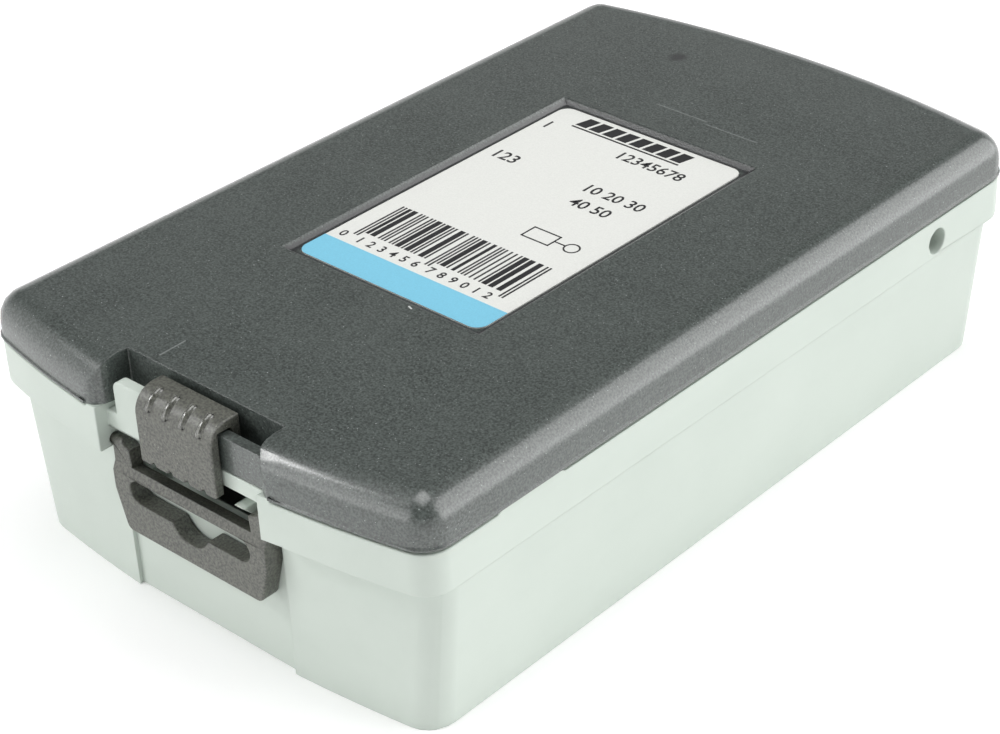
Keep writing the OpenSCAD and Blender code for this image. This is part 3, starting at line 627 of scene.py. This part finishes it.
def print_marks(bm, z0, z1):
    """Plain numbers, rules and a simple sign that fill the places of the printed texts."""
    def number(text, size, x, y):
        place = Matrix.Translation((x * MM, y * MM, (z0 + z1) / 2))
        add_text(bm, text, size * MM, place, PRINT_H, INK_SWELL)

    def rule(x0, x1, y0, y1, lean=0.0):
        loop = [(x0, y0), (x1, y0), (x1 + lean, y1), (x0 + lean, y1)]
        prism(bm, [(x * MM, y * MM) for x, y in loop], z0, z1)

    number("0", DIGIT_H, FIRST_DIGIT_X, DIGITS_Y)
    for k in range(DIGIT_COUNT):
        split = DIGIT_SPLIT if k >= DIGIT_COUNT // 2 else 0
        number(str((k + 1) % 10), DIGIT_H, DIGITS_X + DIGIT_STEP * k + split, DIGITS_Y)
    for text, size, x, y in PRINTED:
        number(text, size, x, y)
    for k in range(HEADER_COUNT):
        x = HEADER_X + HEADER_STEP * k
        rule(x, x + HEADER_W, *HEADER_Y, HEADER_LEAN)
    rule(*HEADER_RULE)
    for text, size, x, y in LOWER_PRINTED:
        number(text, size, x, y)
    for sides in SIGN_RULES:
        rule(*sides)
    ring(bm, [c * MM for c in SIGN_RING_AT], *(r * MM for r in SIGN_RING_R), z0, z1)


def ring(bm, center, outer, inner, z0, z1, steps=32):
    """Adds a flat ring."""
    for k in range(steps):
        a, b = (math.tau * t / steps for t in (k, k + 1))
        loop = [(center[0] + r * math.cos(t), center[1] + r * math.sin(t))
                for r, t in ((inner, a), (outer, a), (outer, b), (inner, b))]
        prism(bm, loop, z0, z1)


# ---- Grip ribs of the latch ----
GRIP_R = 4.35 * MM
GRIP_ARC = (100, 160)
GRIP_OVER = 4
GRIP_PITCH = 3.7 * MM
GRIP_COUNT = 4
GRIP_HALF = 0.7 * MM
GRIP_PROUD = 0.12 * MM
GRIP_RINGS, GRIP_SIDES = 20, 16
GRIP_END_POWER = 8


def make_grips(mat):
    """Short worn ribs over the latch's shoulder, with rounded ends."""
    low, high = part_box("latch")
    first, last = (math.radians(a) for a in GRIP_ARC)
    cy = low.y - GRIP_R * math.cos(last)
    cz = high.z - GRIP_R * math.sin(first)
    path = GRIP_R + GRIP_PROUD - GRIP_HALF
    over = math.radians(GRIP_OVER)
    bm = bmesh.new()
    for i in range(GRIP_COUNT):
        x = (low.x + high.x) / 2 + (i - (GRIP_COUNT - 1) / 2) * GRIP_PITCH
        loops = []
        for k in range(1, GRIP_RINGS):
            t = k / GRIP_RINGS
            a = first - over + (last - first + 2 * over) * t
            half = GRIP_HALF * (1 - abs(2 * t - 1) ** GRIP_END_POWER) ** 0.5
            loop = []
            for j in range(GRIP_SIDES):
                turn = math.tau * j / GRIP_SIDES
                reach = path + half * math.sin(turn)
                loop.append(bm.verts.new((x + half * math.cos(turn), cy + reach * math.cos(a),
                                          cz + reach * math.sin(a))))
            loops.append(loop)
        bm.faces.new(loops[0])
        bm.faces.new(loops[-1][::-1])
        for one, two in zip(loops, loops[1:]):
            for j in range(GRIP_SIDES):
                k = (j + 1) % GRIP_SIDES
                bm.faces.new((one[j], two[j], two[k], one[k])).smooth = True
    bmesh.ops.recalc_face_normals(bm, faces=bm.faces)
    new_piece("latch_grips", bm, [mat], "latch")


# ---- Drills ----
DRILL_COUNTS = {"front": 17, "middle": 17, "rear": 16}
FIRST_DRILL = 1.0 * MM
DRILL_STEP = 0.1 * MM
HELIX = math.radians(28)
LAND = math.radians(32)
SECTION_POINTS = 24
RING_TURN = math.radians(14)
FLUTE_SHARE, FLUTE_LESS = 0.77, 14.5 * MM
MARGIN_FROM, LAND_RELIEF = 0.55, 0.965
CORE_SHARE, HOLLOW_POWER = 0.30, 0.8
DRILL_SHARE, TIP_SHARE, RUN_OUT_SHARE = 0.996, 0.3, 0.12
LEAST_STEPS = 6
# Rings of a drill: share of the length (or of the point), and share of the radius
BUTT_RINGS, SHANK_END = ((0.0, 0.86), (0.02, 1.0)), 0.97
POINT_RINGS = ((0.5, 0.56), (1.0, 0.1))


def flute_radius(angle, r):
    """Radius of the fluted section: two lands with a margin, and two smooth hollows."""
    a = abs((angle + math.pi / 2) % math.pi - math.pi / 2)
    if a <= LAND:
        return r if a > LAND * MARGIN_FROM else LAND_RELIEF * r
    t = (a - LAND) / (math.pi / 2 - LAND)
    return r * (CORE_SHARE + (1 - CORE_SHARE) * (1 - math.sin(t * math.pi / 2)) ** HOLLOW_POWER)


def add_drill(bm, d, butt, length):
    """Adds a drill that points along -Y from its butt end."""
    r = DRILL_SHARE * d / 2
    tip = TIP_SHARE * d
    fluted = FLUTE_SHARE * length - FLUTE_LESS
    shank = length - fluted
    twist = math.tan(HELIX) / (d / 2)
    steps = max(LEAST_STEPS, round(twist * (fluted - tip) / RING_TURN))
    rings = [(share * length, 0.0, scale, 0.0) for share, scale in BUTT_RINGS]
    rings.append((shank * SHANK_END, 0.0, 1.0, 0.0))
    for k in range(steps + 1):
        y = shank + (fluted - tip) * k / steps
        run_out = min(1.0, k / max(1, steps * RUN_OUT_SHARE))
        rings.append((y, twist * (y - shank), 1.0, run_out))
    last = rings[-1][1]
    for share, scale in POINT_RINGS:
        rings.append((length - tip * (1 - share), last + twist * tip * share, scale, 1.0))
    loops = []
    for y, turn, scale, depth in rings:
        loop = []
        for k in range(SECTION_POINTS):
            a = math.tau * k / SECTION_POINTS
            rho = scale * (r + depth * (flute_radius(a, r) - r))
            loop.append(bm.verts.new((butt.x + rho * math.cos(a + turn), butt.y - y,
                                      butt.z + rho * math.sin(a + turn))))
        loops.append(loop)
    bm.faces.new(loops[0])
    bm.faces.new(loops[-1][::-1])
    for low, high in zip(loops, loops[1:]):
        for k in range(SECTION_POINTS):
            j = (k + 1) % SECTION_POINTS
            bm.faces.new((low[k], high[k], high[j], low[j])).smooth = True


def loose_parts(mesh):
    """Corner boxes of a mesh's separate solids, from left to right."""
    bm = bmesh.new()
    bm.from_mesh(mesh)
    bmesh.ops.remove_doubles(bm, verts=bm.verts, dist=WELD)
    seen, boxes = set(), []
    for seed in bm.verts:
        if seed in seen:
            continue
        seen.add(seed)
        stack, part = [seed], []
        while stack:
            vert = stack.pop()
            part.append(vert.co.copy())
            for edge in vert.link_edges:
                other = edge.other_vert(vert)
                if other not in seen:
                    seen.add(other)
                    stack.append(other)
        low = Vector([min(p[i] for p in part) for i in range(3)])
        high = Vector([max(p[i] for p in part) for i in range(3)])
        boxes.append((low, high))
    bm.free()
    return sorted(boxes, key=lambda b: b[0].x)


def make_drills(steel):
    for rack in DRILL_COUNTS:
        for row in ("lower", "upper"):
            node = f"drills_{rack}_{row}"
            bm = bmesh.new()
            for low, high in loose_parts(NODES[node].data):
                d = high.z - low.z
                butt = Vector(((low.x + high.x) / 2, high.y, (low.z + high.z) / 2))
                add_drill(bm, d, butt, high.y - low.y)
            bmesh.ops.recalc_face_normals(bm, faces=bm.faces)
            new_piece(node + "_fluted", bm, [steel], "rack_" + rack, [node])


# ---- Numbers on the racks ----
NUMBER_H = 2.3 * MM
NUMBER_DEPTH = 0.04 * MM
SOCKET = 9 * MM
NUMBER_BACK = 1.7 * MM
ROW_SHARE = 0.235


def make_rack_numbers(ink):
    """The drill sizes in millimetres beside the sockets, on the faces that show when the lid is open."""
    first = 0
    for rack, count in DRILL_COUNTS.items():
        rows = {row: loose_parts(NODES[f"drills_{rack}_{row}"].data) for row in ("upper", "lower")}
        level = {row: (parts[0][0].z + parts[0][1].z) / 2 for row, parts in rows.items()}
        face = {row: parts[0][1].y - SOCKET for row, parts in rows.items()}
        step_z = (level["upper"] + level["lower"]) / 2
        bottom_z = step_z - (level["upper"] - level["lower"]) / (4 * ROW_SHARE)
        spots = {"upper": ((face["upper"] + face["lower"]) / 2, step_z, 0),
                 "lower": (face["lower"] + NUMBER_BACK, bottom_z, 1)}
        bm = bmesh.new()
        for row, (y, z, offset) in spots.items():
            for k, (low, high) in enumerate(rows[row]):
                size = FIRST_DRILL + DRILL_STEP * (first + offset + 2 * k)
                place = Matrix.Translation(((low.x + high.x) / 2, y, z)) @ Matrix.Rotation(math.pi, 4, "X")
                add_text(bm, f"{size / MM:.1f}", NUMBER_H, place, NUMBER_DEPTH, 0.5 * INK_SWELL)
        new_piece(f"rack_{rack}_numbers", bm, [ink], "rack_" + rack)
        first += count


# ---- The scene ----
shell = shell_plastic()
lid = grained_plastic("lid_plastic", LID, LID_DEEP, LID_SPECK, roughness=0.32, grain=0.36 * MM,
                      grain_depth=0.03 * MM, speck_from=0.73, specular=0.9, gloss=0.5, marks=LID_MARKS_AND_SHADE)
clip = grained_plastic("clip_plastic", CLIP, CLIP_DEEP, CLIP_SPECK, roughness=0.42, grain=0.40 * MM,
                       grain_depth=0.07 * MM, speck_from=0.73, specular=0.9)
rack = grained_plastic("rack_plastic", RACK, RACK_DEEP, PRINT, roughness=0.45, grain=0.25 * MM,
                       grain_depth=0.02 * MM, speck_from=0.80)
pins = ground_steel("pin_steel", STEEL, STEEL_DEEP, roughness=0.3)
steel = ground_steel("drill_steel", STEEL, STEEL_DEEP, roughness=0.26)
FINISHES = {"shell": shell, "lid_plastic": lid, "clip_plastic": clip, "rack_plastic": rack,
            "pin_steel": pins, "drill_steel": steel}

make_camera()
make_world()
for name, (direction, side, power) in SOFTBOXES.items():
    softbox(name, direction, side, power)
make_floor()

slots = {part["node"]: part["material_slot"] for part in frame["record"]["subparts"]}
for node, edge in EDGES.items():
    finished_shell(node, NODES[node]["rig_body"], FINISHES[slots[node]], edge)
make_label(film("label_film", FILM, roughness=0.32), film("label_band", BAND, roughness=0.3),
           film("label_ink", INK_AND_SHADE, roughness=0.35))
make_grips(grained_plastic("worn_clip_plastic", CLIP, CLIP_DEEP, CLIP_SPECK, roughness=0.20, grain=0.40 * MM,
                           grain_depth=0.01 * MM, speck_from=0.73, specular=0.9, gloss=1.0))
make_drills(steel)
make_rack_numbers(film("rack_ink", PRINT, roughness=0.45))

scene = bpy.context.scene
scene.view_settings.view_transform = "Standard"
